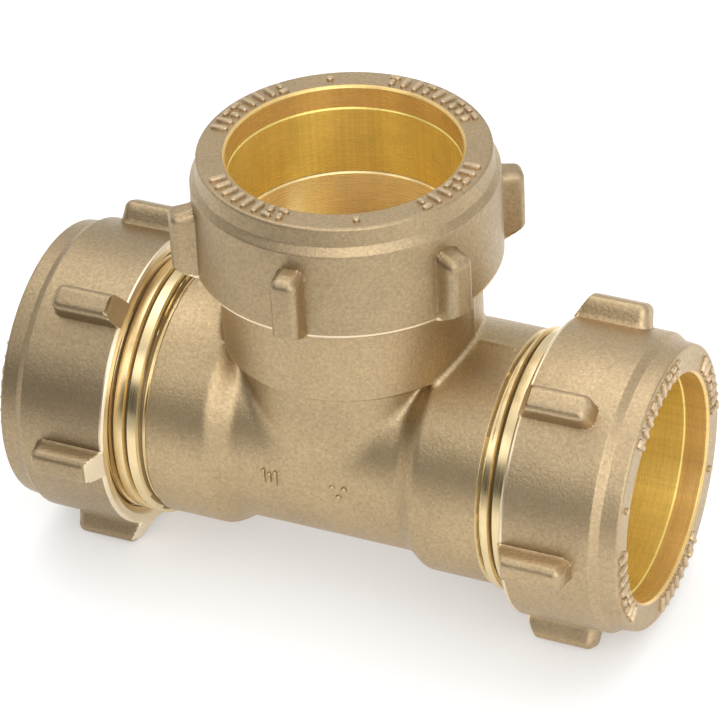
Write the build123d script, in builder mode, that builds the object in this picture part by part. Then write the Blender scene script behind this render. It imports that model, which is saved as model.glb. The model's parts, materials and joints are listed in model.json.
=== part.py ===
from build123d import *
import math
import os

# Compression tee for 35 mm copper tube: one stamped brass body, three lugged nuts, three olives.
# The run lies along X, the branch stands along +Z, and the fitting rests on its two run nuts.

# Tube and thread
bore_radius = 17.6
thread_pitch = 25.4 / 11
thread_root = 19.5
thread_crest = 20.6
root_half_width = 1.0
crest_half_width = 0.43
thread_play = 0.15
thread_bite = 0.15
thread_run_out = 1.0
thread_lead_in = 1.4
crest_clearance = 0.22
root_clearance = 0.2
spare_turns = 2
trim_depth = 1.0
trim_height = 0.5
lead_in_sink = 0.2

# Body, measured outward from the crossing of the two axes
axis_height = 24.314
barrel_radius = 17.85
collar_radius = 19.95
collar_sweep = 0.7
run_waterway_radius = 15.2
branch_waterway_radius = 14.7
collar_chamfer = 0.4
relief_radius = 19.2
relief_length = 0.8
relief_slope = 0.2
thread_start_gap = 0.5
run_face = 51.1
branch_face = 49.75
run_shoulder = 13.9
run_collar = 17.6
run_collar_end = 27.3
branch_shoulder = 16.6
branch_collar = 17.6
branch_collar_end = 30.3
run_stop = 19.0
branch_stop = 18.6

# Nut, measured back from its outer face
nut_length = 18.4
body_gap = 11.6
lip_radius = 17.75
lip_chamfer = 0.5
lip_depth = 3.4
seat_radius = 19.62
seat_end = 5.27
nut_thread_start = 8.6
nut_thread_end = 17.6
ridge_gap = 0.5
entry_gap = 0.1
entry_radius = 21.6
nut_radius = 23.4
shoulder_radius = 23.1
shoulder_end = 4.0
rim_radius = 22.7
rim_end = 2.6
face_radius = 22.1
face_chamfer = 0.4
groove_radius = 22.3
groove_start = 2.8
groove_end = 3.2
back_chamfer = 0.3

# Lugs on the nut
lug_count = 6
lug_reach = 26.9
lug_width = 4.2
lug_foot = 22.4
lug_front = 7.1
lug_front_slope = 0.6
lug_back_slope = 1.9
lug_back_inset = 0.02
lug_sink = 0.2
lug_round = 1.2

# Olive, measured back from the nut's outer face
olive_front = 4.05
olive_back = 15.05
olive_end_radius = 18.0
olive_peak_radius = 18.85
olive_taper = 4.6
olive_bore_chamfer = 0.25
mouth_end_radius = 18.75
mouth_start_radius = 18.1
mouth_depth = 3.7

# Each port's plane stands at the crossing with its local Z pointing out of the port
crossing = (0, 0, axis_height)
right_port = Plane(origin=crossing, x_dir=(0, 1, 0), z_dir=(1, 0, 0))
left_port = Plane(origin=crossing, x_dir=(0, 1, 0), z_dir=(-1, 0, 0))
branch_port = Plane(origin=crossing, x_dir=(1, 0, 0), z_dir=(0, 0, 1))
right_lug_angle = 122
left_lug_angle = -122
branch_lug_angle = 33


def half_section(port):
    # Local X is the distance from the port's axis, local Y the distance out along it
    return Plane(origin=port.origin, x_dir=port.x_dir, z_dir=-port.y_dir)


def port_axis(port):
    return Axis(port.origin, port.z_dir)


def helix_start(port, distance):
    return port.origin + port.z_dir * distance


def male_thread(port, start, end):
    # Right-hand ridge, chamfered at both ends of its length
    flank = (root_half_width - crest_half_width) / (thread_crest - thread_root)
    foot_half_width = root_half_width + flank * thread_bite
    ridge_height = thread_crest - thread_root
    with BuildPart() as ridge:
        with BuildLine() as path:
            Helix(
                pitch=thread_pitch,
                height=end - start + spare_turns * thread_pitch,
                radius=thread_root,
                center=helix_start(port, end - thread_pitch * math.ceil((end - start) / thread_pitch + 1)),
                direction=port.z_dir,
            )
        begin = path.line @ 0
        outward = begin - port.origin
        outward = outward - port.z_dir * outward.dot(port.z_dir)
        with BuildSketch(Plane(origin=begin, x_dir=outward, z_dir=path.line % 0)):
            with BuildLine():
                Polyline(
                    (-thread_bite, -foot_half_width),
                    (ridge_height, -crest_half_width),
                    (ridge_height, crest_half_width),
                    (-thread_bite, foot_half_width),
                    close=True,
                )
            make_face()
        sweep(path=path.line, is_frenet=True)
        with BuildSketch(half_section(port)):
            with BuildLine():
                Polyline(
                    (thread_root - trim_depth, start),
                    (thread_root, start),
                    (thread_crest + trim_height, start + thread_run_out),
                    (thread_crest + trim_height, end - thread_lead_in),
                    (thread_root - lead_in_sink, end),
                    (thread_root - trim_depth, end),
                    close=True,
                )
            make_face()
        revolve(axis=port_axis(port), mode=Mode.INTERSECT)
    return ridge.part


def female_thread(port, start, end, body_end):
    # Right-hand ridge half a pitch out of step with the male one, with play on both flanks
    flank = (root_half_width - crest_half_width) / (thread_crest - thread_root)
    crest_radius = thread_root + crest_clearance
    root_radius = thread_crest + root_clearance
    male_at_crest = root_half_width - flank * (crest_radius - thread_root)
    tip_half_width = thread_pitch / 2 - thread_play - male_at_crest
    depth = root_radius + thread_bite - crest_radius
    foot_half_width = tip_half_width + flank * depth
    turns_back = math.ceil((body_end - start) / thread_pitch + 1) + 0.5
    with BuildPart() as ridge:
        with BuildLine() as path:
            Helix(
                pitch=thread_pitch,
                height=end - start + (spare_turns + 1) * thread_pitch,
                radius=root_radius,
                center=helix_start(port, body_end - thread_pitch * turns_back),
                direction=port.z_dir,
            )
        begin = path.line @ 0
        outward = begin - port.origin
        outward = outward - port.z_dir * outward.dot(port.z_dir)
        with BuildSketch(Plane(origin=begin, x_dir=outward, z_dir=path.line % 0)):
            with BuildLine():
                Polyline(
                    (thread_bite, -foot_half_width),
                    (crest_radius - root_radius, -tip_half_width),
                    (crest_radius - root_radius, tip_half_width),
                    (thread_bite, foot_half_width),
                    close=True,
                )
            make_face()
        sweep(path=path.line, is_frenet=True)
        with BuildSketch(half_section(port)):
            with BuildLine():
                Polyline(
                    (root_radius + trim_depth, start),
                    (root_radius, start),
                    (crest_radius - trim_height, start + thread_run_out),
                    (crest_radius - trim_height, end - thread_run_out),
                    (root_radius, end),
                    (root_radius + trim_depth, end),
                    close=True,
                )
            make_face()
        revolve(axis=port_axis(port), mode=Mode.INTERSECT)
    return ridge.part


# Tee body
run_lengths = (run_face - body_gap, run_shoulder, run_collar, run_collar_end)
branch_lengths = (branch_face - body_gap, branch_shoulder, branch_collar, branch_collar_end)
arms = [
    (right_port, *run_lengths),
    (left_port, *run_lengths),
    (branch_port, *branch_lengths),
]
waterways = [
    (right_port, run_face - body_gap, run_stop, run_waterway_radius),
    (left_port, run_face - body_gap, run_stop, run_waterway_radius),
    (branch_port, branch_face - body_gap, branch_stop, branch_waterway_radius),
]
body_threads = []
for port, body_end, shoulder, collar, collar_end in arms:
    body_threads.append(male_thread(port, collar_end + thread_start_gap, body_end))

with BuildPart() as tee_body:
    for port, body_end, shoulder, collar, collar_end in arms:
        relief_end = collar_end + relief_length
        with BuildSketch(half_section(port)):
            with BuildLine():
                Polyline(
                    (barrel_radius, shoulder),
                    (barrel_radius, 0),
                    (0, 0),
                    (0, body_end),
                    (thread_root, body_end),
                    (thread_root, relief_end + relief_slope),
                    (relief_radius, relief_end),
                    (relief_radius, collar_end),
                    (collar_radius - collar_chamfer, collar_end),
                    (collar_radius, collar_end - collar_chamfer),
                    (collar_radius, collar),
                )
                Spline(
                    (collar_radius, collar),
                    (barrel_radius, shoulder),
                    tangents=((0, -1), (0, -1)),
                    tangent_scalars=(collar_sweep, collar_sweep),
                )
            make_face()
        revolve(axis=port_axis(port))
    for port, body_end, stop, waterway_radius in waterways:
        with BuildSketch(half_section(port)):
            with BuildLine():
                Polyline(
                    (0, 0),
                    (waterway_radius, 0),
                    (waterway_radius, stop),
                    (bore_radius, stop),
                    (bore_radius, body_end - mouth_depth),
                    (mouth_start_radius, body_end - mouth_depth),
                    (mouth_end_radius, body_end),
                    (0, body_end),
                    close=True,
                )
            make_face()
        revolve(axis=port_axis(port), mode=Mode.SUBTRACT)
    for ridge in body_threads:
        add(ridge)


def compression_nut(port, face, first_angle):
    back = face - nut_length
    ridge_start = face - nut_thread_end + entry_gap
    ridge_end = face - nut_thread_start - ridge_gap
    ridge = female_thread(port, ridge_start, ridge_end, face - body_gap)

    # One lug, sloped at the back and rounded along its top
    with BuildPart() as lug:
        lug_direction = port.x_dir.rotate(port_axis(port), first_angle)
        turned = Plane(origin=port.origin, x_dir=lug_direction, z_dir=port.z_dir)
        with BuildSketch(half_section(turned)) as outline:
            with BuildLine():
                Polyline(
                    (lug_foot, back + lug_back_inset),
                    (nut_radius, back + lug_back_inset),
                    (lug_reach, back + lug_back_slope),
                    (lug_reach, face - lug_front - lug_front_slope),
                    (nut_radius - lug_sink, face - lug_front),
                    (lug_foot, face - lug_front),
                    close=True,
                )
            make_face()
        extrude(amount=lug_width / 2, both=True)
        top_face = lug.faces().sort_by(Axis(port.origin, turned.x_dir))[-1]
        fillet(top_face.edges(), radius=lug_round)

    with BuildPart() as nut:
        with BuildSketch(half_section(port)):
            with BuildLine():
                Polyline(
                    (lip_radius, face - lip_chamfer),
                    (lip_radius + lip_chamfer, face),
                    (face_radius - face_chamfer, face),
                    (face_radius, face - face_chamfer),
                    (rim_radius, face - rim_end),
                    (groove_radius, face - groove_start),
                    (groove_radius, face - groove_end),
                    (shoulder_radius, face - shoulder_end),
                    (nut_radius, back + back_chamfer),
                    (nut_radius - back_chamfer, back),
                    (entry_radius, back),
                    (thread_crest + root_clearance, face - nut_thread_end),
                    (thread_crest + root_clearance, face - nut_thread_start),
                    (seat_radius, face - nut_thread_start),
                    (seat_radius, face - seat_end),
                    (lip_radius, face - lip_depth),
                    close=True,
                )
            make_face()
        revolve(axis=port_axis(port))
        for index in range(lug_count):
            add(lug.part.rotate(port_axis(port), index * 360 / lug_count))
        add(ridge)
    return nut.part


def olive(port, face):
    with BuildPart() as ring:
        with BuildSketch(half_section(port)):
            with BuildLine():
                Polyline(
                    (bore_radius, face - olive_back + olive_bore_chamfer),
                    (bore_radius + olive_bore_chamfer, face - olive_back),
                    (olive_end_radius, face - olive_back),
                    (olive_peak_radius, face - olive_back + olive_taper),
                    (olive_peak_radius, face - olive_front - olive_taper),
                    (olive_end_radius, face - olive_front),
                    (bore_radius + olive_bore_chamfer, face - olive_front),
                    (bore_radius, face - olive_front - olive_bore_chamfer),
                    close=True,
                )
            make_face()
        revolve(axis=port_axis(port))
    return ring.part


os.makedirs("parts", exist_ok=True)
pieces = {
    "tee_body": tee_body.part,
    "right_nut": compression_nut(right_port, run_face, right_lug_angle),
    "left_nut": compression_nut(left_port, run_face, left_lug_angle),
    "branch_nut": compression_nut(branch_port, branch_face, branch_lug_angle),
    "right_olive": olive(right_port, run_face),
    "left_olive": olive(left_port, run_face),
    "branch_olive": olive(branch_port, branch_face),
}
for name, piece in pieces.items():
    piece.label = name
    export_step(piece, f"parts/{name}.step")
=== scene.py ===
import json
import math
import random

import bpy
import numpy as np
from mathutils import Matrix, Vector


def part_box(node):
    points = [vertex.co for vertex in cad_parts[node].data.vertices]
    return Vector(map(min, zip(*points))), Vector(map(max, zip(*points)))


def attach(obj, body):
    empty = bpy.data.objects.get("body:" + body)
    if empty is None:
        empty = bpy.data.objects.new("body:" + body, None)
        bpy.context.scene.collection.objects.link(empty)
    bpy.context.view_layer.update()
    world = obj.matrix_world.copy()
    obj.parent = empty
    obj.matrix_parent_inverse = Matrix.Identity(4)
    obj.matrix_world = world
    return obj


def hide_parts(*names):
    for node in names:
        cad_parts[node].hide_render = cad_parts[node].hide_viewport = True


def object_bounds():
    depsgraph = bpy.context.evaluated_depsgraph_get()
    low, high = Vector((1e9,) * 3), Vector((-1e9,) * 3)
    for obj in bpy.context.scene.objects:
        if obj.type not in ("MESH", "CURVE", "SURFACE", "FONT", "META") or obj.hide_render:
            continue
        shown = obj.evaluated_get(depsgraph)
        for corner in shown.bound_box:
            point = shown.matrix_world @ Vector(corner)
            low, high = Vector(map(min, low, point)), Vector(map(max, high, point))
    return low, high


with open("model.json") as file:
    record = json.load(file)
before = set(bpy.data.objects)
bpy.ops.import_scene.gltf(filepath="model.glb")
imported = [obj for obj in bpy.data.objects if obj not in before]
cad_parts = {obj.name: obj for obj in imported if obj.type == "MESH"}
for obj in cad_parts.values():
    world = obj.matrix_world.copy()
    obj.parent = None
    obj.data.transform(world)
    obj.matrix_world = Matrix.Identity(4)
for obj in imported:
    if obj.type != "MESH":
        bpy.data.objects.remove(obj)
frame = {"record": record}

cad_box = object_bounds()
MM = 0.001
mounts = {mount["name"]: mount for mount in frame["record"]["mounts"]}
crossing = Vector((0, 0, mounts["right_port"]["pos_m"][2]))
bore = mounts["right_port"]["dims"]["r_mm"]

# Thread, in millimetres
PITCH = 25.4 / 11
THREAD_ROOT = 19.5
THREAD_CREST = 20.6
RIDGE_FOOT = 1.0
RIDGE_TIP = 0.43
THREAD_PLAY = 0.15
CREST_CLEARANCE = 0.22
ROOT_CLEARANCE = 0.2
BROAD_CREST = 0.74
BROAD_FALL = 0.38
CREST_ROUND = 0.25
RUN_OUT = 1.2

# Body, in millimetres out from the crossing of the axes
BARREL = 17.85
CROSSING_FILLET = 1.1
PARTING_LINE = (0.16, 0.5)
HIDDEN_END = 0.7
HIDDEN_BORE = 18.6
COLLAR = 19.95
RUN_WATERWAY = 15.2
BRANCH_WATERWAY = 14.7
RUN_SHOULDER = (13.2, 17.8)
BRANCH_SHOULDER = (16.9, 17.7)
MOUTH_DEPTH = 3.7
MOUTH_RADII = (18.1, 18.75)

# Nut, in millimetres back from its outer face
NUT_RADIUS = 23.4
NUT_THREAD = (9.1, 17.5)
NUT_FACE_EDGE = 22.15
NUT_BEVEL = ((22.45, 2.9), (23.3, 4.15))
NUT_MOUTH = 21.9
LIP = 17.75
LIP_DEPTH = 3.7
SEAT = (19.62, 5.57)
LUG_COUNT = 6
LUG_REACH = 26.9
LUG_HALF_WIDTH = 2.1
LUG_FRONT = 7.1
LUG_SLOPE = 1.9
LUG_ROUND = 1.35
LUG_STEEPNESS = 9
LUG_FILLET = 0.9

# Olive, in millimetres back from the nut's outer face
OLIVE_SPAN = (3.78, 15.2)
OLIVE_END = 18.0
OLIVE_PEAK = 18.85
OLIVE_TAPER = 4.6

# Fineness: columns round a turned shape, sides of a raised pad, and millimetres between rows or grid points
COLUMNS = 256
PAD_SIDES = 16
NUT_STEP = 0.27
OLIVE_STEP = 0.5
END_STEP = 0.4
CASTING_STEP = 0.45

# Turned finishes: colour, roughness, strength of the lathe rings, metallic share, dark streaks and anisotropy
FINISHES = {
    "turned": ((0.84, 0.67, 0.38), 0.24, 0.15, 0.95, 0.0, 0.5),
    # A dark tone for the thread grooves, painted shade for the shade that falls in them, with a rougher finish
    "groove_painted_shade": ((0.36, 0.28, 0.16), 0.45, 0.15, 1.0, 0.0, 0.75),
    "faced": ((0.88, 0.74, 0.52), 0.32, 0.3, 1.0, 0.0, 0.3),
    "lip": ((0.88, 0.62, 0.24), 0.26, 0.08, 0.75, 0.10, 0.75),
    "mouth": ((1.0, 0.81, 0.42), 0.26, 0.08, 0.60, 0.06, 0.75),
    "olive": ((1.0, 0.79, 0.24), 0.28, 0.08, 0.78, 0.12, 0.75),
}
DRILLED = ((0.92, 0.70, 0.36), 0.30, 0.1, 0.60, 0.06, 0.75)

# Cast tones: the pieces differ a little; the darker tones of the left and branch nuts are painted shade, standing in
# for the shade that falls on them
BODY_TONE = (0.480, 0.360, 0.208)
MARK_TONE = (0.60, 0.46, 0.29)
NUT_TONE_WITH_PAINTED_SHADE = {"right": (0.490, 0.369, 0.220), "left": (0.385, 0.290, 0.173), "branch": (0.432, 0.326, 0.194)}

# Degrees that each nut's marks are turned by
MARKS_TURN = {"right": 35, "left": 35, "branch": 0}


class Port:
    """One port's own frame, with local Z pointing out of it and its distances in millimetres from the crossing."""

    def __init__(self, name, x_axis, lug_angle):
        mount = mounts[f"{name}_port"]
        z_axis = Vector(mount["axis"])
        x_axis = Vector(x_axis)
        y_axis = z_axis.cross(x_axis)
        self.name = name
        self.lug_angle = math.radians(lug_angle)
        self.matrix = Matrix((x_axis, y_axis, z_axis)).transposed().to_4x4()
        self.matrix.translation = crossing
        self.face = self.reach(f"{name}_nut", z_axis)
        self.back = -self.reach(f"{name}_nut", -z_axis)
        socket_middle = (Vector(mount["pos_m"]) - crossing).dot(z_axis) / MM
        self.stop = socket_middle - mount["dims"]["length_mm"] / 2
        self.end = socket_middle + mount["dims"]["length_mm"] / 2 + MOUTH_DEPTH

    def reach(self, node, direction):
        low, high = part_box(node)
        corners = [Vector((x, y, z)) for x in (low.x, high.x) for y in (low.y, high.y) for z in (low.z, high.z)]
        return max((corner - crossing).dot(direction) for corner in corners) / MM


RIGHT = Port("right", (0, 1, 0), 122)
LEFT = Port("left", (0, 1, 0), -122)
BRANCH = Port("branch", (1, 0, 0), 33)
COLLAR_END = {"right": 28.0, "left": 27.3, "branch": 30.3}


# Materials

def new_material(name):
    material = bpy.data.materials.new(name)
    material.use_nodes = True
    nodes = material.node_tree.nodes
    return material, nodes, material.node_tree.links, nodes["Principled BSDF"]


def noise(nodes, links, coords, scale, detail=2.0, rough=0.5):
    node = nodes.new("ShaderNodeTexNoise")
    node.inputs["Scale"].default_value = scale
    node.inputs["Detail"].default_value = detail
    node.inputs["Roughness"].default_value = rough
    links.new(coords, node.inputs["Vector"])
    return node


def ramp(nodes, links, source, stops):
    node = nodes.new("ShaderNodeValToRGB")
    points = node.color_ramp.elements
    while len(points) < len(stops):
        points.new(0.5)
    for point, (place, color) in zip(points, stops):
        point.position = place
        point.color = color if len(color) == 4 else (*color, 1)
    links.new(source, node.inputs["Fac"])
    return node


def grey(value):
    return (value, value, value)


def mix(nodes, links, kind, first, second):
    """Output of a full-strength colour mix of two sockets."""
    node = nodes.new("ShaderNodeMix")
    node.data_type = "RGBA"
    node.blend_type = kind
    node.inputs["Factor"].default_value = 1.0
    links.new(first, node.inputs["A"])
    links.new(second, node.inputs["B"])
    return next(output for output in node.outputs if output.enabled)


def vector_math(nodes, links, operation, source, other=None):
    """Outputs of a vector operation between a socket and a fixed vector."""
    node = nodes.new("ShaderNodeVectorMath")
    node.operation = operation
    links.new(source, node.inputs[0])
    if other is not None:
        node.inputs[1].default_value = other
    return node.outputs


def bump(nodes, links, height, strength, distance):
    node = nodes.new("ShaderNodeBump")
    node.inputs["Strength"].default_value = strength
    node.inputs["Distance"].default_value = distance
    links.new(height, node.inputs["Height"])
    return node


def cast_brass(name, tone):
    """Shot-blasted stamping: matt tan brass with a fine glittering grain and slow changes of tone."""
    material, nodes, links, surface = new_material(name)
    coords = nodes.new("ShaderNodeTexCoord").outputs["Object"]
    grain = noise(nodes, links, coords, 5200, 2.0, 0.6)
    pits = noise(nodes, links, coords, 2000, 4.0, 0.68)
    patches = noise(nodes, links, coords, 70, 4.0, 0.6)
    darker = tuple(0.91 * part for part in tone)
    lighter = tuple(1.07 * part for part in tone)
    patch_tone = ramp(nodes, links, patches.outputs["Fac"], [(0.32, darker), (0.52, tone), (0.72, lighter)])
    grain_tone = ramp(nodes, links, pits.outputs["Fac"], [(0.30, grey(0.84)), (0.50, grey(1.0)), (0.72, grey(1.19))])
    mixed = mix(nodes, links, "MULTIPLY", patch_tone.outputs["Color"], grain_tone.outputs["Color"])
    links.new(mixed, surface.inputs["Base Color"])
    roughness = ramp(nodes, links, pits.outputs["Fac"], [(0.25, grey(0.46)), (0.75, grey(0.33))])
    links.new(roughness.outputs["Color"], surface.inputs["Roughness"])
    surface.inputs["Metallic"].default_value = 1.0
    coarse = bump(nodes, links, pits.outputs["Fac"], 0.40, 0.00016)
    fine = bump(nodes, links, grain.outputs["Fac"], 0.45, 0.00005)
    links.new(coarse.outputs["Normal"], fine.inputs["Normal"])
    links.new(fine.outputs["Normal"], surface.inputs["Normal"])
    return material


def turned_brass(name, port, tone, rough, marks, metal, streaks, brushed):
    """Brass cut on a lathe: very fine rings about the port's own axis, which spread its shine along the axis."""
    material, nodes, links, surface = new_material(name)
    coords = nodes.new("ShaderNodeTexCoord").outputs["Object"]
    axis = port.matrix.to_3x3().col[2]
    offset = vector_math(nodes, links, "SUBTRACT", coords, crossing)["Vector"]
    ring = nodes.new("ShaderNodeCombineXYZ")
    links.new(vector_math(nodes, links, "DOT_PRODUCT", offset, axis)["Value"], ring.inputs["X"])
    links.new(vector_math(nodes, links, "LENGTH", offset)["Value"], ring.inputs["Y"])
    rings = noise(nodes, links, ring.outputs["Vector"], 9000, 1.0, 0.5)
    stains = noise(nodes, links, coords, 150, 3.0, 0.6)
    stained = ramp(nodes, links, stains.outputs["Fac"], [(0.32, tuple(0.9 * part for part in tone)), (0.62, tone)])

    # Streaks run along the axis, so they depend only on the direction away from it
    outward = vector_math(nodes, links, "MULTIPLY", offset, [1 - abs(part) for part in axis])["Vector"]
    around = vector_math(nodes, links, "NORMALIZE", outward)["Vector"]
    lines = noise(nodes, links, around, 22, 4.0, 0.7)
    streaked = ramp(nodes, links, lines.outputs["Fac"], [(0.36, grey(1 - streaks)), (0.60, grey(1.0))])
    mixed = mix(nodes, links, "MULTIPLY", stained.outputs["Color"], streaked.outputs["Color"])
    links.new(mixed, surface.inputs["Base Color"])
    roughness = ramp(nodes, links, rings.outputs["Fac"], [(0.25, grey(rough * 0.8)), (0.75, grey(rough * 1.3))])
    links.new(roughness.outputs["Color"], surface.inputs["Roughness"])
    surface.inputs["Metallic"].default_value = metal
    surface.inputs["Anisotropic"].default_value = brushed
    surface.inputs["Anisotropic Rotation"].default_value = 0.25
    tangent = nodes.new("ShaderNodeTangent")
    tangent.direction_type = "RADIAL"
    tangent.axis = "Z" if port is BRANCH else "X"
    links.new(tangent.outputs["Tangent"], surface.inputs["Tangent"])
    cuts = bump(nodes, links, rings.outputs["Fac"], marks, 0.00002)
    links.new(cuts.outputs["Normal"], surface.inputs["Normal"])
    return material


# Mesh helpers: shapes are worked out in millimetres in a port's frame and stored in metres in the row frame

def mesh_object(name, points, faces, materials, matrix, picks=None, sharp=40):
    mesh = bpy.data.meshes.new(name)
    mesh.from_pydata((points * MM).tolist(), [], faces)
    mesh.transform(matrix)
    for material in materials:
        mesh.materials.append(material)
    if picks is not None:
        mesh.polygons.foreach_set("material_index", picks)
    mesh.polygons.foreach_set("use_smooth", [True] * len(mesh.polygons))
    mesh.validate()
    mesh.set_sharp_from_angle(angle=math.radians(sharp))
    made = bpy.data.objects.new(name, mesh)
    bpy.context.collection.objects.link(made)
    return made


def rounded_outline(corners, step):
    """Points along an open outline of (radius, distance, corner radius) corners, with arcs at the corners."""
    points = [np.array(corners[0][:2], float)]
    for before, corner, after in zip(corners, corners[1:], corners[2:]):
        here = np.array(corner[:2], float)
        back = np.array(before[:2], float) - here
        ahead = np.array(after[:2], float) - here
        back_unit = back / np.linalg.norm(back)
        ahead_unit = ahead / np.linalg.norm(ahead)
        half_turn = 0.5 * math.acos(np.clip(back_unit @ ahead_unit, -1, 1))
        radius = corner[2]
        if radius <= 0:
            points.append(here)
            continue
        trim = min(radius / math.tan(half_turn), 0.45 * np.linalg.norm(back), 0.45 * np.linalg.norm(ahead))
        radius = trim * math.tan(half_turn)
        bisector = (back_unit + ahead_unit) / np.linalg.norm(back_unit + ahead_unit)
        centre = here + bisector * radius / math.sin(half_turn)
        start = here + back_unit * trim - centre
        finish = here + ahead_unit * trim - centre
        sweep = math.acos(np.clip(start @ finish / (radius * radius), -1, 1))
        count = max(2, math.ceil(sweep / math.radians(15)))
        for index in range(count + 1):
            share = index / count
            blend = (math.sin((1 - share) * sweep) * start + math.sin(share * sweep) * finish) / math.sin(sweep)
            points.append(centre + blend)
    points.append(np.array(corners[-1][:2], float))
    dense = [points[0]]
    for first, second in zip(points, points[1:]):
        count = max(1, math.ceil(np.linalg.norm(second - first) / step))
        dense += [first + (second - first) * index / count for index in range(1, count + 1)]
    return np.array(dense)


def lathe(radii, distances, angles):
    """Vertices and faces of a closed tube skin, from a closed ring of rows over a circle of columns."""
    rows, columns = radii.shape
    points = np.stack([radii * np.cos(angles), radii * np.sin(angles), distances], axis=-1).reshape(-1, 3)
    row, column = np.meshgrid(np.arange(rows), np.arange(columns), indexing="ij")
    next_row = (row + 1) % rows
    next_column = (column + 1) % columns
    faces = np.stack(
        [
            row * columns + column,
            row * columns + next_column,
            next_row * columns + next_column,
            next_row * columns + column,
        ],
        axis=-1,
    )
    return points, faces.reshape(-1, 4)


def revolve(radius, distance):
    """A closed outline turned about the axis, with the columns that it was turned in."""
    angles = np.linspace(0, math.tau, COLUMNS, endpoint=False)
    radii = np.repeat(radius[:, None], COLUMNS, axis=1)
    distances = np.repeat(distance[:, None], COLUMNS, axis=1)
    return lathe(radii, distances, angles)


def smooth_step(value, low, high):
    share = np.clip((value - low) / (high - low), 0, 1)
    return share * share * (3 - 2 * share)


def smooth_max(first, second, radius):
    blend = np.clip(radius - np.abs(first - second), 0, None)
    return np.maximum(first, second) + blend * blend / (4 * radius)


def thread_rows(depth, tip, foot):
    """One turn's rows: their places along the axis from the ridge's middle, and their heights above its foot.

    The first heights are the working thread's. The second have the broad crests and narrow grooves of a thread
    that no nut has reached.
    """
    edge = (foot - tip) / 4
    half = [0, 0.5 * tip, tip - edge, tip - 0.3 * edge, tip + 0.3 * edge, tip + edge, foot - edge, foot - 0.3 * edge]
    half += [BROAD_CREST, foot + 0.3 * (PITCH / 2 - foot)]
    half = [share for share in half if 0 <= share < PITCH / 2]
    offsets = np.array(sorted([-share for share in half[1:]] + half + [PITCH / 2]))
    slope = depth / (foot - tip)
    flank = np.clip((foot - np.abs(offsets)) * slope, 0, None)
    crown = depth - 0.22 * (offsets / tip) ** 2
    worn = np.maximum(-smooth_max(-flank, -crown, CREST_ROUND), 0)
    fall = np.clip((np.abs(offsets) - BROAD_CREST) / BROAD_FALL, 0, 1)
    broad = depth * (1 - 0.03 * offsets**2 - 0.8 * fall)
    return offsets, worn, broad


def thread_faces(number, per_turn, base):
    """Quads between numbered rows that follow the helix, closed by two buried rings that start at base."""
    rows, columns = number.shape

    # The seam joins each row to the row one turn further on
    next_number = np.roll(number, -1, axis=1)
    next_number[:, -1] = np.concatenate([number[per_turn:, 0], np.full(per_turn, number[-1, 0])])
    quads = np.stack([number[:-1], next_number[:-1], next_number[1:], number[1:]], axis=-1).reshape(-1, 4)
    column = np.arange(columns)
    after = (column + 1) % columns
    low, high = base + column, base + columns + column
    low_after, high_after = base + after, base + columns + after
    top = (rows - 1) * columns
    return np.concatenate(
        [
            quads,
            np.stack([top + column, top + after, high_after, high], axis=-1),
            np.stack([high, high_after, low_after, low], axis=-1),
            np.stack([low, low_after, after, column], axis=-1),
        ]
    )


def cleaned(points, quads):
    """Drops repeated corners, the faces that have then no area, and the points that no face uses."""
    faces = []
    for quad in quads.tolist():
        face = [vertex for index, vertex in enumerate(quad) if vertex != quad[index - 1]]
        if len(face) > 2 and len(set(face)) == len(face):
            faces.append(face)
    used = sorted({vertex for face in faces for vertex in face})
    place = {vertex: index for index, vertex in enumerate(used)}
    return points[used], [[place[vertex] for vertex in face] for face in faces]


def thread_skin(start, end, phase, inner, outer, tip, foot, buried, worked=None):
    """A right-hand thread as a closed skin whose rows follow the helix, run out smoothly at both of its ends.

    Short of the distance `worked`, where no nut reaches, the crests are broad and the grooves narrow.
    """
    depth = abs(outer - inner)
    offsets, worn, broad = thread_rows(depth, tip, foot)
    per_turn = len(offsets)
    rows = per_turn * (math.ceil((end - start) / PITCH) + 3)
    turn, place = np.divmod(np.arange(rows), per_turn)
    angles = np.linspace(0, math.tau, COLUMNS, endpoint=False)
    first = start - (start - phase) % PITCH - 1.5 * PITCH
    along = first + PITCH * turn + PITCH / 2 + offsets[place]
    distance = np.clip(along[:, None] + PITCH * angles[None, :] / math.tau, start, end)
    level = worn[place][:, None]
    fade_in = 1.0
    if worked is not None:
        unworked = 1 - smooth_step(distance, worked - 0.6, worked)
        level = level + (broad[place][:, None] - level) * unworked
        fade_in = 0.25
    run_out = np.minimum((distance - start) / fade_in, (end - distance) / RUN_OUT) * depth
    radius = inner + math.copysign(1, outer - inner) * np.clip(np.minimum(level, run_out), 0, None)
    points = np.stack([radius * np.cos(angles), radius * np.sin(angles), distance], axis=-1).reshape(-1, 3)

    # Rows that lie wholly past an end share that end's vertices
    number = np.arange(rows * COLUMNS).reshape(rows, COLUMNS)
    column = np.arange(COLUMNS)[None, :]
    number = np.where(distance <= start + 1e-9, column, number)
    number = np.where(distance >= end - 1e-9, (rows - 1) * COLUMNS + column, number)

    ring = np.stack([np.cos(angles), np.sin(angles)], axis=-1) * buried
    low_ring = np.concatenate([ring, np.full((COLUMNS, 1), start)], axis=1)
    high_ring = np.concatenate([ring, np.full((COLUMNS, 1), end)], axis=1)
    quads = thread_faces(number, per_turn, len(points))
    return cleaned(np.concatenate([points, low_ring, high_ring]), quads)


def merge(skins):
    """Joins (points, faces, material number per face) skins into one."""
    points, faces, picks, base = [], [], [], 0
    for skin_points, skin_faces, skin_picks in skins:
        points.append(skin_points)
        faces += [[base + vertex for vertex in face] for face in skin_faces]
        picks += list(skin_picks)
        base += len(skin_points)
    return np.concatenate(points), faces, picks


# Nut

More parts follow.
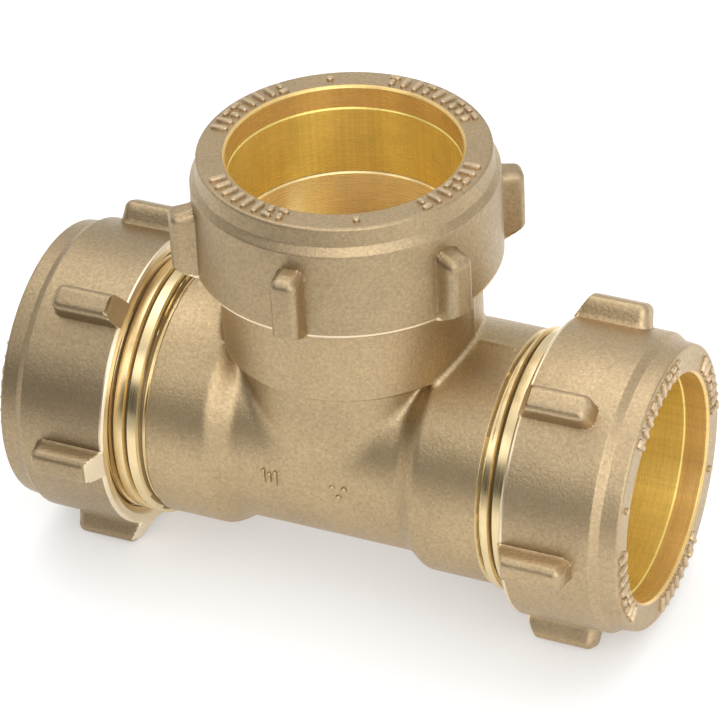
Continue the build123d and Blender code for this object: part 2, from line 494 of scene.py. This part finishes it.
def lug_radii(across, behind, length):
    """Radii of a rounded lug and of the slope machined on its rear, from its centre line and the nut's face."""
    side = np.clip(across - (LUG_HALF_WIDTH - LUG_ROUND), 0, None)
    front = np.clip(LUG_FRONT + LUG_ROUND - behind, 0, None)
    corner = np.sqrt(side**2 + front**2)
    inside = np.clip(LUG_ROUND**2 - corner**2, 0, None)
    cap = LUG_REACH - LUG_ROUND + np.sqrt(inside)
    wall = LUG_REACH - LUG_ROUND - (corner - LUG_ROUND) * LUG_STEEPNESS
    crowned = np.where(corner < LUG_ROUND, cap, wall)
    machined = NUT_RADIUS + (length - behind) * (LUG_REACH - NUT_RADIUS) / LUG_SLOPE
    return crowned, machined


def nut_outline(length, bore_wall):
    """Rows of (radius, distance behind the face), once round the nut's section."""
    lip = [
        (LIP, LIP_DEPTH - 0.6, 0),
        (LIP, 0.35, 0.15),
        (LIP + 0.35, 0, 0.15),
    ]
    nose_and_wall = [
        (NUT_FACE_EDGE, 0, 0.45),
        (*NUT_BEVEL[0], 0.2),
        (*NUT_BEVEL[1], 0.4),
        (NUT_RADIUS, length - 0.35, 0.06),
        (NUT_RADIUS - 0.3, length, 0.06),
    ]
    inside = [
        (NUT_MOUTH, length, 0.08),
        (bore_wall, 17.6, 0.1),
        (bore_wall, 8.6, 0.1),
        (SEAT[0], 8.6, 0.1),
        (SEAT[0], SEAT[1], 0.1),
        (LIP + 0.1, LIP_DEPTH + 0.1, 0),
        (LIP, LIP_DEPTH, 0),
        (LIP, LIP_DEPTH - 0.6, 0),
    ]
    return rounded_outline(lip + nose_and_wall + inside, NUT_STEP)[:-1]


def nut_columns(lug_angle):
    """Angles of the nut's columns, which crowd round each lug's sides, and their angles from the nearest lug."""
    sector = math.tau / LUG_COUNT
    crowded = (np.linspace(0, 1.5, 3), np.linspace(1.8, 6.4, 20), np.linspace(7.2, 180 / LUG_COUNT, 20))
    fine = np.radians(np.concatenate(crowded))
    half = np.concatenate([-fine[:0:-1], fine[:-1]])
    angles = np.concatenate([lug_angle + index * sector + half for index in range(LUG_COUNT)])
    return angles, (angles - lug_angle + sector / 2) % sector - sector / 2


def nut(port, cast, finish):
    """The nut's shell with its six lugs, and its inner thread."""
    length = port.face - port.back
    bore_wall = THREAD_CREST + ROOT_CLEARANCE
    outline = nut_outline(length, bore_wall)
    radius, behind = outline[:, 0], outline[:, 1]

    angles, from_lug = nut_columns(port.lug_angle)
    radii = np.repeat(radius[:, None], len(angles), axis=1)
    depth = np.repeat(behind[:, None], len(angles), axis=1)
    outside = (radius > NUT_BEVEL[1][0] - 0.4) & (behind > NUT_BEVEL[1][1] - 0.15)
    across = np.abs(np.sin(from_lug))[None, :] * (NUT_RADIUS + 1.5)
    crowned, machined = lug_radii(across, depth, length)
    blended = smooth_max(radii, crowned, LUG_FILLET)
    raised = np.maximum(np.minimum(blended, machined), radii)
    on_slope = outside[:, None] & (machined < blended + 0.02) & (raised > radii + 0.05)
    radii = np.where(outside[:, None], raised, radii)

    points, faces = lathe(radii, port.face - depth, angles)

    # Cast all over the outside, with a turned inside, a bright lip and a faced rear end
    cast_pick, turned_pick, lip_pick, faced_pick = range(4)
    cast_row = (radius >= LIP + 0.34) & (behind < 1.0) | (radius > NUT_FACE_EDGE - 0.05) & (behind < length - 0.7)
    lip_row = (radius < LIP + 0.34) & (behind < LIP_DEPTH + 0.1)
    faced_row = (behind > length - 0.75) & (radius > bore_wall + 0.2)
    picks = np.select([cast_row, lip_row, faced_row], [cast_pick, lip_pick, faced_pick], turned_pick)
    picks = np.where(on_slope, faced_pick, picks[:, None]).reshape(-1)

    inner_tip = THREAD_ROOT + CREST_CLEARANCE
    flank = (RIDGE_FOOT - RIDGE_TIP) / (THREAD_CREST - THREAD_ROOT)
    tip = PITCH / 2 - THREAD_PLAY - (RIDGE_FOOT - flank * CREST_CLEARANCE)
    foot = tip + flank * (bore_wall - inner_tip)
    ridge = thread_skin(
        port.face - NUT_THREAD[1],
        port.face - NUT_THREAD[0],
        port.end + PITCH / 2,
        bore_wall + 0.02,
        inner_tip,
        tip,
        foot,
        bore_wall + 0.5,
    )
    shell = (points, faces[:, ::-1].tolist(), picks.tolist())
    inner_thread = (ridge[0], [face[::-1] for face in ridge[1]], [turned_pick] * len(ridge[1]))
    merged = merge([shell, inner_thread])
    materials = [cast, finish["turned"], finish["lip"], finish["faced"]]
    made = mesh_object(f"{port.name}_nut_shell", *merged[:2], materials, port.matrix, merged[2])
    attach(made, f"{port.name}_nut")
    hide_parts(f"{port.name}_nut")


def raised_pads(pads, height, bevel):
    """Small raised pads on a flat face: each is (centre, direction, half length, half width) in the face's plane."""
    points, faces = [], []
    for (cx, cy), turn, half_length, half_width in pads:
        base = len(points)
        rim = []
        for index in range(PAD_SIDES):
            angle = math.tau * index / PAD_SIDES
            reach = half_length - half_width
            x = half_width * math.cos(angle) + (reach if math.cos(angle) > 0 else -reach)
            rim.append((x, half_width * math.sin(angle)))
        for level, shrink in ((-0.25, 0.0), (height - bevel, 0.1 * bevel), (height, bevel)):
            for x, y in rim:
                x = x - math.copysign(min(shrink, abs(x)), x)
                y = y * (1 - shrink / half_width)
                px = cx + x * math.cos(turn) - y * math.sin(turn)
                py = cy + x * math.sin(turn) + y * math.cos(turn)
                points.append((px, py, level))
        for low in (base, base + PAD_SIDES):
            for index in range(PAD_SIDES):
                after = (index + 1) % PAD_SIDES
                faces.append((low + index, low + after, low + PAD_SIDES + after, low + PAD_SIDES + index))
        faces.append(tuple(base + 2 * PAD_SIDES + index for index in range(PAD_SIDES)))
        faces.append(tuple(base + PAD_SIDES - 1 - index for index in range(PAD_SIDES)))
    return np.array(points), faces


def spot(radius, angle):
    return (radius * math.cos(angle), radius * math.sin(angle))


def face_marks(port, cast):
    """Plain raised ticks in four groups round the nut's face, some crossed, and a dot between two pairs of groups."""
    middle = 19.95
    tick, short_tick, cross_stroke, half_width, dot = 1.4, 0.78, 0.85, 0.46, 0.56
    spacing, moved = 5.9, 0.62
    pads = []
    chance = random.Random(11)
    for centre, count in ((68, 9), (163, 8), (246, 8), (347, 7)):
        for index in range(count):
            angle = math.radians(centre + MARKS_TURN[port.name] + (index - (count - 1) / 2) * spacing)
            half_length, shift = chance.choice(((tick, 0), (tick, 0), (short_tick, moved), (short_tick, -moved)))
            pads.append((spot(middle + shift, angle), angle, half_length, half_width))
            if half_length == short_tick:
                pads.append((spot(middle - 1.45 * shift, angle), angle + math.pi / 2, cross_stroke, half_width))
    for centre in (120, 299):
        angle = math.radians(centre + MARKS_TURN[port.name])
        pads.append((spot(middle, angle), 0, dot, dot - 0.01))
    points, faces = raised_pads(pads, 0.5, 0.16)
    lift = Matrix.Translation((0, 0, port.face * MM))
    made = mesh_object(f"{port.name}_nut_marks", points, faces, [cast], port.matrix @ lift)
    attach(made, f"{port.name}_nut")


# Olive

def olive(port, turned):
    front, rear = OLIVE_SPAN
    corners = [
        (bore + 0.02, (front + rear) / 2, 0),
        (bore + 0.02, front + 0.22, 0.06),
        (bore + 0.24, front, 0.06),
        (OLIVE_END, front, 0.1),
        (OLIVE_PEAK, front + OLIVE_TAPER, 2.5),
        (OLIVE_PEAK, rear - OLIVE_TAPER, 2.5),
        (OLIVE_END, rear, 0.1),
        (bore + 0.24, rear, 0.06),
        (bore + 0.02, rear - 0.22, 0.06),
        (bore + 0.02, (front + rear) / 2, 0),
    ]
    outline = rounded_outline(corners, OLIVE_STEP)[:-1]
    points, faces = revolve(outline[:, 0], port.face - outline[:, 1])
    made = mesh_object(f"{port.name}_olive_ring", points, faces[:, ::-1].tolist(), [turned], port.matrix)
    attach(made, f"{port.name}_olive")
    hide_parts(f"{port.name}_olive")


# Tee body: a stamped casting with three machined, threaded ends

def machined_end(port, cast, finish):
    """The threaded end, its collar face, the mouth that the olive seats in and the tube's socket."""
    collar_end = COLLAR_END[port.name]
    waterway = BRANCH_WATERWAY if port is BRANCH else RUN_WATERWAY
    corners = [
        (19.0, collar_end - 2.4, 0),
        (COLLAR - 0.3, collar_end - 1.5, 0),
        (COLLAR + 0.01, collar_end - 1.47, 0),
        (COLLAR + 0.01, collar_end - 0.4, 0.05),
        (COLLAR - 0.4, collar_end, 0.05),
        (19.2, collar_end, 0.1),
        (19.2, collar_end + 0.5, 0.1),
        (THREAD_ROOT - 0.03, collar_end + 0.75, 0),
        (THREAD_ROOT - 0.03, port.end - 0.1, 0.05),
        (THREAD_ROOT - 0.1, port.end, 0.05),
        (MOUTH_RADII[1], port.end, 0.1),
        (MOUTH_RADII[0], port.end - MOUTH_DEPTH, 0.05),
        (bore + 0.28, port.end - MOUTH_DEPTH, 0.05),
        (bore, port.end - MOUTH_DEPTH - 0.28, 0.05),
        (bore, port.stop, 0.1),
        (waterway + 0.05, port.stop, 0.15),
        (waterway + 0.05, port.stop - 2.0, 0),
        (waterway + 0.6, port.stop - 2.4, 0),
        (19.0, port.stop + 1.0, 0),
        (19.0, collar_end - 2.4, 0),
    ]
    radius, distance = rounded_outline(corners, END_STEP)[:-1].T
    points, faces = revolve(radius, distance)
    on_collar = (radius > 19.6) & (distance < collar_end - 0.42)
    in_mouth = (radius < MOUTH_RADII[1] + 0.05) & (distance > port.stop - 3)
    turned_pick, cast_pick, mouth_pick, groove_painted_shade_pick = range(4)
    picks = np.select([on_collar, in_mouth], [cast_pick, mouth_pick], turned_pick).repeat(COLUMNS)
    ridge = thread_skin(
        collar_end + 0.6,
        port.end - 0.12,
        port.end,
        THREAD_ROOT,
        THREAD_CREST,
        RIDGE_TIP,
        RIDGE_FOOT,
        THREAD_ROOT - 0.35,
        port.face - NUT_THREAD[1],
    )

    # The grooves between the threads get a dark tone, painted shade for the shade that falls in them, and a rougher
    # finish than the crests
    reach = np.hypot(ridge[0][:, 0], ridge[0][:, 1])
    groove = THREAD_ROOT + 0.55
    ridge_picks = [groove_painted_shade_pick if reach[face].mean() < groove else turned_pick for face in ridge[1]]
    merged = merge([(points, faces.tolist(), picks.tolist()), (*ridge, ridge_picks)])
    materials = [finish["turned"], cast, finish["mouth"], finish["groove_painted_shade"]]
    made = mesh_object(f"{port.name}_threaded_end", *merged[:2], materials, port.matrix, merged[2])
    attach(made, "tee")


def arm_radius(distance, shoulder, end):
    """Radius of an arm, dropping just before its end to lie under the machined collar face."""
    collar = (COLLAR - BARREL) * smooth_step(distance, *shoulder)
    return BARREL + collar - 0.2 * smooth_step(distance, end - 1.0, end - HIDDEN_END)


def casting_field(x, y, z):
    """Below zero inside the brass, in millimetres from the crossing. Positive values are roughly distances."""
    run_radius = np.sqrt(y * y + z * z)
    branch_radius = np.sqrt(x * x + y * y)
    run_end = np.where(x > 0, COLLAR_END["right"], COLLAR_END["left"])
    run = run_radius - arm_radius(np.abs(x), RUN_SHOULDER, run_end)
    branch = np.maximum(branch_radius - arm_radius(z, BRANCH_SHOULDER, COLLAR_END["branch"]), -z)
    line_height, line_width = PARTING_LINE
    parting_line = line_height * np.exp(-((y / line_width) ** 2))
    skin = -smooth_max(-run, -branch, CROSSING_FILLET) - parting_line

    # The wider bore past each shoulder and the short ends keep the casting's skin inside the machined ends
    run_bore = np.where(np.abs(x) > RIGHT.stop - 0.8, HIDDEN_BORE, RUN_WATERWAY)
    branch_bore = np.where(z > BRANCH.stop - 0.8, HIDDEN_BORE, BRANCH_WATERWAY)
    hollow = np.minimum(run_radius - run_bore, np.maximum(branch_radius - branch_bore, -z))
    ends = np.maximum(np.abs(x) - (run_end - HIDDEN_END), z - (COLLAR_END["branch"] - HIDDEN_END))
    return np.maximum(np.maximum(skin, -hollow), ends)


def field_slope(x, y, z, value):
    gap = 0.02
    slope = [
        casting_field(x + gap, y, z) - value,
        casting_field(x, y + gap, z) - value,
        casting_field(x, y, z + gap) - value,
    ]
    return np.stack(slope, axis=-1) / gap


def crossed_edges(field, axis):
    """The values at both ends of the grid's edges along an axis, and whether the skin crosses each edge."""
    near = np.take(field, range(field.shape[axis] - 1), axis)
    far = np.take(field, range(1, field.shape[axis]), axis)
    return near, far, (near < 0) != (far < 0)


def surface_net(low, high, step):
    """Quad mesh of the casting's skin: one vertex in each cell that the skin crosses, then moved onto the skin."""
    axes = [np.arange(a - step, b + step * 1.5, step) for a, b in zip(low, high)]
    grid = np.meshgrid(*axes, indexing="ij")
    field = casting_field(*grid)
    cells = tuple(size - 1 for size in field.shape)
    total = np.zeros(cells + (3,))
    crossings = np.zeros(cells)
    for axis in range(3):
        near, far, crossed = crossed_edges(field, axis)
        share = np.where(crossed, near / np.where(crossed, near - far, 1), 0)
        others = [other for other in range(3) if other != axis]
        for first in (0, 1):
            for second in (0, 1):
                window = [slice(None)] * 3
                window[others[0]] = slice(first, first + cells[others[0]])
                window[others[1]] = slice(second, second + cells[others[1]])
                hit = crossed[tuple(window)]
                crossings += hit
                total[..., axis] += np.where(hit, share[tuple(window)], 0)
                total[..., others[0]] += hit * first
                total[..., others[1]] += hit * second
    used = crossings > 0
    number = np.full(cells, -1)
    number[used] = np.arange(used.sum())
    corner = np.stack(np.nonzero(used), axis=-1)
    points = np.array([axis[0] for axis in axes]) + step * (corner + total[used] / crossings[used][:, None])
    faces = []
    for axis in range(3):
        others = [other for other in range(3) if other != axis]
        near, _, crossed = crossed_edges(field, axis)
        inner = [slice(1, -1)] * 3
        inner[axis] = slice(None)
        places = np.stack(np.nonzero(crossed[tuple(inner)]), axis=-1)
        places[:, others] += 1
        outward = (near < 0)[tuple(places.T)]
        ring = []
        for first, second in ((0, 0), (1, 0), (1, 1), (0, 1)):
            cell = places.copy()
            cell[:, others[0]] -= first
            cell[:, others[1]] -= second
            ring.append(number[tuple(cell.T)])
        quads = np.stack(ring, axis=-1)
        flip = outward if axis == 1 else ~outward
        quads[flip] = quads[flip][:, ::-1]
        faces.append(quads)
    for _ in range(4):
        value = casting_field(*points.T)
        slope = field_slope(*points.T, value)
        squared = np.clip((slope**2).sum(axis=-1), 0.25, None)
        points = points - np.clip(value / squared, -step, step)[:, None] * slope
    return points, np.concatenate(faces)


def casting(cast, drilled):
    low = (-COLLAR_END["left"], -COLLAR - 0.5, -COLLAR - 0.5)
    high = (COLLAR_END["right"], COLLAR + 0.5, COLLAR_END["branch"])
    points, faces = surface_net(low, high, CASTING_STEP)
    middle = points[faces].mean(axis=1)
    run_radius = np.hypot(middle[:, 1], middle[:, 2])
    branch_radius = np.hypot(middle[:, 0], middle[:, 1])
    hollow = (run_radius < RUN_WATERWAY + 0.3) | ((branch_radius < BRANCH_WATERWAY + 0.3) & (middle[:, 2] > 0))
    made = mesh_object(
        "tee_casting",
        points,
        faces.tolist(),
        [cast, drilled],
        Matrix.Translation(crossing),
        hollow.astype(int).tolist(),
        sharp=60,
    )
    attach(made, "tee")
    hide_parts("tee_body")


def body_marks(cast):
    """Two small raised groups on the front of the barrel: three bars and three dots."""
    pads = [((x, 0.8), math.radians(90), length, 0.34) for x, length in ((-8.1, 1.45), (-7.1, 1.0), (-6.1, 1.45))]
    pads += [((3.4, 1.6), 0, 0.5, 0.48), ((5.3, 1.6), 0, 0.5, 0.48), ((4.35, -0.1), 0, 0.5, 0.48)]
    points, faces = raised_pads(pads, 0.3, 0.14)
    upright = Matrix.Rotation(math.radians(90), 4, "X")
    lean = Matrix.Rotation(math.radians(4), 4, "X")
    lift = Matrix.Translation((0, 0, BARREL * MM))
    place = Matrix.Translation(crossing) @ lean @ upright @ lift
    made = mesh_object("tee_marks", points, faces, [cast], place)
    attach(made, "tee")


# Stage, camera and light

def look_at(place, target):
    return (Vector(target) - Vector(place)).to_track_quat("-Z", "Y").to_matrix().to_4x4()


def area_light(name, place, target, size, power):
    data = bpy.data.lights.new(name, "AREA")
    data.shape = "RECTANGLE"
    data.size, data.size_y = size
    data.energy = power
    light = bpy.data.objects.new(name, data)
    light.matrix_world = Matrix.Translation(place) @ look_at(place, target)
    bpy.context.collection.objects.link(light)
    return light


def photo_camera():
    """The photograph's view: distances are in bore radii from the crossing of the axes."""
    azimuth, elevation, roll = math.radians(25.41), math.radians(34.85), math.radians(-3.08)
    unit = bore * MM
    back = Vector(
        (math.sin(azimuth) * math.cos(elevation), -math.cos(azimuth) * math.cos(elevation), math.sin(elevation))
    )
    level = Vector((math.cos(azimuth), math.sin(azimuth), 0))
    upward = back.cross(level)
    right = level * math.cos(roll) + upward * math.sin(roll)
    up = upward * math.cos(roll) - level * math.sin(roll)
    place = crossing + (0.0104 * right + 0.5298 * up + 36.83 * back) * unit
    data = bpy.data.cameras.new("photo_camera")
    data.sensor_width = 36
    data.lens = 208.9
    data.clip_start = 0.01
    camera = bpy.data.objects.new("photo_camera", data)
    camera.matrix_world = Matrix.Translation(place) @ Matrix((right, up, back)).transposed().to_4x4()
    bpy.context.collection.objects.link(camera)
    bpy.context.scene.camera = camera


def studio():
    """Pale floor that also lights the brass from below, a lamp for the floor alone, and the tent."""
    mesh = bpy.data.meshes.new("floor")
    half = 4.0
    mesh.from_pydata([(-half, -half, 0), (half, -half, 0), (half, half, 0), (-half, half, 0)], [], [(0, 1, 2, 3)])
    floor = bpy.data.objects.new("floor", mesh)
    floor.location.z = cad_box[0][2] - 0.0002
    bpy.context.collection.objects.link(floor)
    material, nodes, links, surface = new_material("pale_floor")
    coords = nodes.new("ShaderNodeTexCoord").outputs["Object"]
    mottle = noise(nodes, links, coords, 12, 2.0)
    tint = ramp(nodes, links, mottle.outputs["Fac"], [(0.3, grey(0.60)), (0.7, grey(0.62))])

    # The floor dims towards the front, beyond the part of it in view: painted shade in its colour and glow, which the
    # brass reflects
    front = vector_math(nodes, links, "DOT_PRODUCT", coords, (1.6, 4.8, 0))["Value"]
    rise = nodes.new("ShaderNodeMath")
    rise.operation = "ADD"
    links.new(front, rise.inputs[0])
    rise.inputs[1].default_value = 0.95
    fade = ramp(nodes, links, rise.outputs["Value"], [(0.0, grey(0.40)), (0.40, grey(1.0))])
    mixed = mix(nodes, links, "MULTIPLY", tint.outputs["Color"], fade.outputs["Color"])
    links.new(mixed, surface.inputs["Base Color"])
    links.new(mixed, surface.inputs["Emission Color"])
    surface.inputs["Emission Strength"].default_value = 0.62
    surface.inputs["Roughness"].default_value = 0.9
    mesh.materials.append(material)

    # The brass reflects the tent and the floor, and not the lamp that whitens the floor
    floor_lamp = area_light("floor_lamp", (0.15, 0.30, 0.90), tuple(crossing), (1.4, 1.2), 3)
    floor_lamp.visible_glossy = False
    light_tent()
    bpy.context.scene.view_settings.view_transform = "Standard"


def light_tent():
    """Soft light from all round: bright above, dim towards the left front, with bright cards on each side of that."""
    world = bpy.data.worlds.new("studio")
    bpy.context.scene.world = world
    world.use_nodes = True
    nodes, links = world.node_tree.nodes, world.node_tree.links
    direction = nodes.new("ShaderNodeTexCoord").outputs["Generated"]

    def towards(aim, stops):
        """A light level that depends on the cosine of the angle from one direction."""
        dot = vector_math(nodes, links, "DOT_PRODUCT", direction, Vector(aim).normalized())["Value"]
        return ramp(nodes, links, dot, [(place, grey(level)) for place, level in stops]).outputs["Color"]

    tent = towards((0, 0, 1), [(0.0, 0.80), (0.35, 0.80), (0.75, 0.82), (0.95, 1.30)])
    layers = (
        ("ADD", (-0.35, 0.27, 0.90), [(0.86, 0.0), (0.96, 0.70), (1.0, 1.3)]),
        ("MULTIPLY", (-0.41, -0.90, 0.17), [(0.58, 1.0), (0.74, 0.80), (0.88, 0.31), (0.96, 0.02)]),
        ("ADD", (0.60, -0.60, 0.52), [(0.84, 0.0), (0.93, 1.35)]),
        ("ADD", (0.15, -0.82, 0.55), [(0.92, 0.0), (0.98, 1.2)]),
        ("ADD", (-0.40, -0.69, 0.61), [(0.966, 0.0), (0.989, 1.6)]),
    )
    for kind, aim, stops in layers:
        tent = mix(nodes, links, kind, tent, towards(aim, stops))
    links.new(tent, nodes["Background"].inputs["Color"])
    nodes["Background"].inputs["Strength"].default_value = 1.0


def main():
    studio()
    photo_camera()
    body_cast = cast_brass("body_cast_brass", BODY_TONE)
    mark_cast = cast_brass("mark_cast_brass", MARK_TONE)
    for port in (RIGHT, LEFT, BRANCH):
        # The left and branch nuts' darker tones are painted shade
        nut_cast = cast_brass(f"{port.name}_nut_cast_brass", NUT_TONE_WITH_PAINTED_SHADE[port.name])
        finish = {kind: turned_brass(f"{port.name}_{kind}_brass", port, *look) for kind, look in FINISHES.items()}
        nut(port, nut_cast, finish)
        face_marks(port, mark_cast)
        olive(port, finish["olive"])
        machined_end(port, body_cast, finish)
    casting(body_cast, turned_brass("drilled_brass", BRANCH, *DRILLED))
    body_marks(body_cast)


main()
